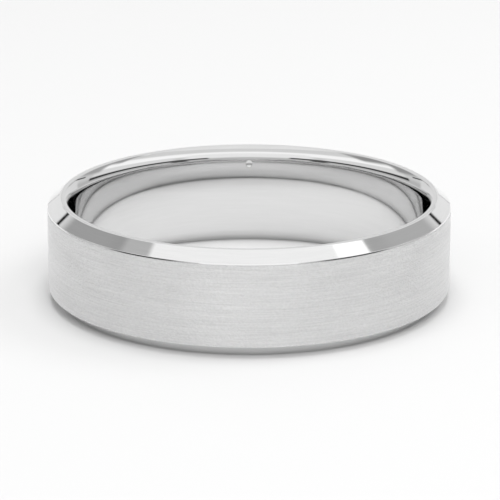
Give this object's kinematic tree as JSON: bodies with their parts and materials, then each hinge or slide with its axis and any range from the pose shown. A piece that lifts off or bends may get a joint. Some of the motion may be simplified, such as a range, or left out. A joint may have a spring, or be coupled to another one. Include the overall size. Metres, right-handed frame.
{
  "type": "wedding band",
  "caption": "Flat comfort-fit ring: satin centre band between polished bevelled edge rings on a polished inner sleeve.",
  "frame": {"origin": "centre of the lower rim, on the plane that the ring lies on", "axes": "+Z along the finger axis, up; +Y towards the side of the bore that carries the punch mark"},
  "size_m": [0.0218, 0.0218, 0.0056],
  "materials": {
    "satin_white_metal": "satin, fine lines brushed round the band",
    "polished_white_metal": "mirror polish"
  },
  "bodies": {
    "root": {"comfort_fit_sleeve": "polished_white_metal", "center_band": "satin_white_metal", "upper_bevel_ring": "polished_white_metal", "lower_bevel_ring": "polished_white_metal"}
  },
  "joints": []
}
